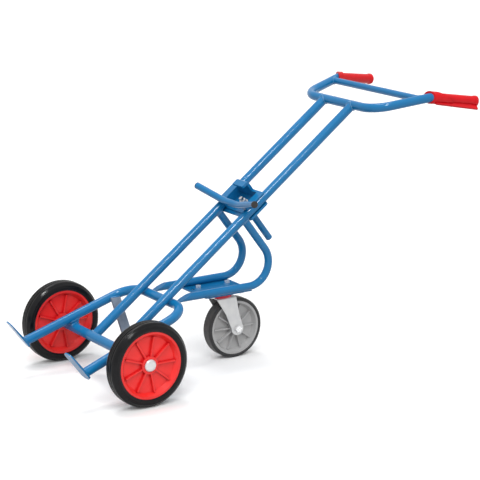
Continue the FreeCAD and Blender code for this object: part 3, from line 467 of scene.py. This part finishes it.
def dress_nodes(finishes):
    """Give every CAD node the finish of its slot, and pressed zinc pieces the duller one."""
    for part in frame["record"]["subparts"]:
        name = part["node"]
        data = nodes[name].data
        data.materials.clear()
        data.materials.append(finishes["zinc_sheet" if name in PRESSED_ZINC else part["material_slot"]])


# Lines that the welds follow


class Tube:
    """A round tube's skin, by a point of its middle line, its direction and its radius."""

    def __init__(self, start, along, radius):
        self.start = start
        self.along = along
        self.radius = radius

    def lines(self, steps):
        """Return the starts of so many lines along the skin."""
        return circle(self.start, self.along, self.radius, steps)


def leaned(reach, side, behind):
    """Return a point given in the rails' own directions from the axle."""
    return AXLE + UP_RAIL * reach + ACROSS * side + BEHIND_RAIL * behind


def on_side(vector, side):
    """Return a place on the left mirrored to the given side."""
    return Vector((vector.x, side * vector.y, vector.z))


def circle(middle, along, radius, steps):
    """Return evenly spaced points of a circle about a direction."""
    u = along.orthogonal().normalized()
    v = along.normalized().cross(u)
    turns = [2 * math.pi * step / steps for step in range(steps)]
    return [middle + (u * math.cos(turn) + v * math.sin(turn)) * radius for turn in turns]


def first_hit(point, along, tube):
    """Return where an endless line first meets a round tube's skin, or None where it passes by."""
    axis = tube.along.normalized()
    across = along - axis * along.dot(axis)
    off = point - tube.start
    off = off - axis * off.dot(axis)
    half = across.dot(off)
    square = across.length_squared
    left = half * half - square * (off.length_squared - tube.radius * tube.radius)
    return None if left < 0 else point + along * ((-half - math.sqrt(left)) / square)


def hits_along(lines, along, tube):
    """Return where lines of one direction meet a round tube, without those that pass by."""
    hits = [first_hit(point, along, tube) for point in lines]
    return [hit for hit in hits if hit is not None]


def seam(tube, other):
    """Return the points where a round tube, going along its axis, first meets another round tube."""
    return hits_along(tube.lines(SEAM_STEPS), tube.along, other)


def crossing(tube, other):
    """Return the closed seam where a round tube lies against another that it passes."""
    lines = tube.lines(CROSSING_STEPS)
    passes_by = [first_hit(line, tube.along, other) is None for line in lines]
    lines = from_place(lines, passes_by.index(True))
    there = hits_along(lines, tube.along, other)
    back = hits_along(lines, -tube.along, other)
    return evenly_spaced(there + back[::-1])


def from_place(points, index):
    """Return a closed line's points, begun at the given one."""
    return points[index:] + points[:index]


def flat_seam(tube, point, normal):
    """Return the points where a round tube, going along its axis, meets a flat face."""
    pace = tube.along.dot(normal)
    return [line + tube.along * ((point - line).dot(normal) / pace) for line in tube.lines(SEAM_STEPS)]


def rectangle(middle, long, wide):
    """Return the points round a rectangle in plan."""
    corners = [(long, wide), (-long, wide), (-long, -wide), (long, -wide)]
    return evenly_spaced([middle + Vector((x / 2, y / 2, 0.0)) for x, y in corners])


def evenly_spaced(points):
    """Return a closed line's points at the beads' spacing."""
    kept = []
    left_over = 0.0
    for start, end in zip(points, points[1:] + points[:1]):
        length = (end - start).length
        while left_over < length:
            kept.append(start + (end - start) * (left_over / length))
            left_over += BEAD_SPACING
        left_over -= length
    return kept


# Weld beads


def from_widest_gap(points):
    """Return a line's points, begun after its gap where it is open, and whether it is."""
    gaps = [(point - points[index - 1]).length for index, point in enumerate(points)]
    widest = gaps.index(max(gaps))
    usual = sorted(gaps)[len(gaps) // 2]
    if gaps[widest] <= OPEN_GAP_SHARE * usual:
        return points, False
    return from_place(points, widest), True


def bead(name, points, finish, radius=BEAD_RADIUS):
    """Lay a rippled weld bead along a closed line of points, or an open one where the tubes part."""
    points, is_open = from_widest_gap(points)
    ends = [points[0], points[-1]] if is_open else [points[-1], points[0]]
    befores = ends[:1] + points[:-1]
    afters = points[1:] + ends[1:]
    mesh = bmesh.new()
    rings = []
    for index, (before, point, after) in enumerate(zip(befores, points, afters)):
        ripple = 1 + RIPPLE_SHARE * math.sin(2 * math.pi * index / RIPPLE_STEPS)
        spots = circle(point, after - before, radius * ripple, BEAD_SIDES)
        rings.append([mesh.verts.new(spot) for spot in spots])
    join_rings(mesh, rings, not is_open)
    if is_open:
        mesh.faces.new(rings[0])
        mesh.faces.new(rings[-1])
    add_piece(name, mesh, finish)


def join_rings(mesh, rings, closed):
    """Skin a row of rings, each joined to the next at its nearest start."""
    pairs = list(zip(rings, rings[1:]))
    if closed:
        pairs.append((rings[-1], rings[0]))
    for ring, following in pairs:
        size = len(ring)
        turn = min(range(size), key=lambda k: (following[k].co - ring[0].co).length)
        forwards = (following[(turn + 1) % size].co - ring[1].co).length
        backwards = (following[turn - 1].co - ring[1].co).length
        way = 1 if forwards < backwards else -1
        for k in range(size):
            near = following[(turn + way * k) % size]
            far = following[(turn + way * (k + 1)) % size]
            mesh.faces.new((ring[k], ring[(k + 1) % size], far, near))


def add_piece(name, mesh, finish):
    """Turn a finished bmesh into a smooth painted object that rides on the frame."""
    bmesh.ops.recalc_face_normals(mesh, faces=mesh.faces)
    for face in mesh.faces:
        face.smooth = True
    data = bpy.data.meshes.new(name)
    mesh.to_mesh(data)
    mesh.free()
    data.materials.append(finish)
    item = bpy.data.objects.new(name, data)
    bpy.context.scene.collection.objects.link(item)
    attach(item, "frame")


def weld_rail(name, side, finish):
    """Weld a rail to the handle, the axle tube, its stay and the bow."""
    halfway = leaned(HANDLE_REACH / 2, side * RAIL_SIDE, RAIL_BEHIND)
    rail = Tube(halfway, UP_RAIL, TUBE_RADIUS)
    rail_down = Tube(halfway, -UP_RAIL, TUBE_RADIUS)
    handle_base = Tube(leaned(HANDLE_REACH, 0.0, RAIL_BEHIND), ACROSS, TUBE_RADIUS)
    axle_tube = Tube(AXLE, ACROSS, AXLE_TUBE_RADIUS)
    stay = Tube(leaned(STAY_REACH, side * RAIL_SIDE, RAIL_BEHIND), -BEHIND_RAIL, STAY_RADIUS)
    bow_cross = Tube(in_middle(AXLE + BOW_BACK), ACROSS, TUBE_RADIUS)
    bead(f"weld_rail_top_{name}", seam(rail, handle_base), finish)
    bead(f"weld_rail_foot_{name}", seam(rail_down, axle_tube), finish)
    # The carriage at its lowest leaves no room for the upper part of the stay's weld
    below_carriage = [hit for hit in seam(stay, rail) if (hit - AXLE).dot(UP_RAIL) < STAY_BEAD_END]
    bead(f"weld_stay_{name}", below_carriage, finish)
    bead(f"weld_bow_{name}", crossing(rail, bow_cross), finish)


def weld_cross_tube(name, side, finish):
    """Weld an end of the handle's cross tube to the arm."""
    corner = leaned(HANDLE_REACH, side * HANDLE_SIDE, RAIL_BEHIND)
    elbow = leaned(ELBOW_REACH, side * ELBOW_SIDE, ELBOW_BEHIND)
    arm = Tube(corner, elbow - corner, TUBE_RADIUS)
    cross_tube = Tube(CROSS_TUBE_MIDDLE, ACROSS * side, CROSS_TUBE_RADIUS)
    bead(f"weld_cross_{name}", seam(cross_tube, arm), finish, CROSS_BEAD_RADIUS)


def weld_bow(name, side, finish):
    """Weld a side tube of the bow to its toe plate, its saddle and the foot step."""
    front = AXLE + on_side(BOW_FRONT, side)
    along = on_side(BOW_BACK - BOW_FRONT, side)
    bow = Tube(front, along, TUBE_RADIUS)
    axle_tube = Tube(AXLE, ACROSS, AXLE_TUBE_RADIUS)

    splay = math.atan2(-along.y, along.x)
    plate_normal = UP_RAIL * math.cos(splay) - ACROSS * math.sin(splay)
    plate = front + along * ((TOE_REACH - (front - AXLE).dot(UP_RAIL)) / along.dot(UP_RAIL))
    bead(f"weld_toe_{name}", flat_seam(bow, plate, plate_normal), finish)

    saddle = rectangle(on_side(SADDLE_MIDDLE, side), SADDLE_SIZE.x, SADDLE_SIZE.y)
    bead(f"weld_saddle_foot_{name}", hits_along(saddle, -UP, axle_tube), finish)
    bead(f"weld_saddle_top_{name}", hits_along(saddle, UP, bow), finish)

    over_step = front + along * ((STEP_MIDDLE.x - front.x) / along.x)
    shares = [step / STEP_SEAM_STEPS - 1 / 2 for step in range(STEP_SEAM_STEPS + 1)]
    leg = [Vector((over_step.x + STEP_WIDTH * share, 0.0, over_step.z)) for share in shares]
    bead(f"weld_step_{name}", hits_along(leg, ACROSS * side, bow), finish)


# Stage


def make_camera():
    data = bpy.data.cameras.new("camera")
    data.lens = CAMERA_LENS
    data.sensor_width = CAMERA_SENSOR
    camera = bpy.data.objects.new("camera", data)
    bpy.context.scene.collection.objects.link(camera)
    back = Vector((
        math.sin(CAMERA_AZIMUTH) * math.cos(CAMERA_ELEVATION),
        -math.cos(CAMERA_AZIMUTH) * math.cos(CAMERA_ELEVATION),
        math.sin(CAMERA_ELEVATION),
    ))
    camera.location = CAMERA_TARGET + back * CAMERA_DISTANCE
    camera.rotation_euler = (-back).to_track_quat("-Z", "Y").to_euler()
    bpy.context.scene.camera = camera


def make_floor():
    """Add a floor that looks white and throws less light back than it seems to."""
    mesh = bpy.data.meshes.new("floor")
    half = FLOOR_HALF
    corners = [(-half, -half, 0.0), (half, -half, 0.0), (half, half, 0.0), (-half, half, 0.0)]
    mesh.from_pydata(corners, [], [(0, 1, 2, 3)])
    floor = bpy.data.objects.new("floor", mesh)
    bpy.context.scene.collection.objects.link(floor)
    material = new_material("floor", roughness=1.0, gloss=0.0)
    to_shader(material, "Base Color", blended(material, seen_directly(material), FLOOR_LIT, FLOOR_SEEN))
    mesh.materials.append(material)


def make_sky():
    """Add an even white sky that looks brighter than the light it gives."""
    world = bpy.data.worlds.new("studio")
    world.use_nodes = True
    background = world.node_tree.nodes["Background"]
    background.inputs["Color"].default_value = WHITE
    strength = spread_out(world, seen_directly(world), (0.0, 1.0), (SKY_LIT, SKY_SEEN))
    world.node_tree.links.new(strength, background.inputs["Strength"])
    bpy.context.scene.world = world


def far_light(name, towards, strength, spread, in_gloss=True, on_colour=True):
    """Add an even light from far away; towards points from the trolley to it, spread is in degrees."""
    data = bpy.data.lights.new(name, "SUN")
    data.energy = strength
    data.angle = math.radians(spread)
    light = bpy.data.objects.new(name, data)
    light.visible_glossy = in_gloss
    light.visible_diffuse = on_colour
    bpy.context.scene.collection.objects.link(light)
    light.rotation_euler = (-towards).to_track_quat("-Z", "Y").to_euler()


def make_light():
    bpy.context.scene.view_settings.view_transform = "Standard"
    bpy.context.scene.view_settings.look = "None"
    make_sky()
    far_light("key", KEY_LIGHT, strength=1.1, spread=40, in_gloss=False)
    far_light("key_shine", KEY_LIGHT, strength=0.85, spread=8, on_colour=False)
    far_light("top", TOP_LIGHT, strength=1.0, spread=24)
    far_light("front", FRONT_LIGHT, strength=0.96, spread=60, in_gloss=False)


finishes = {make.__name__: make() for make in MATERIALS}
dress_nodes(finishes)
for name, side in (("left", 1), ("right", -1)):
    weld_rail(name, side, finishes["painted_weld"])
    weld_cross_tube(name, side, finishes["painted_weld"])
    weld_bow(name, side, finishes["painted_weld"])
make_camera()
make_floor()
make_light()
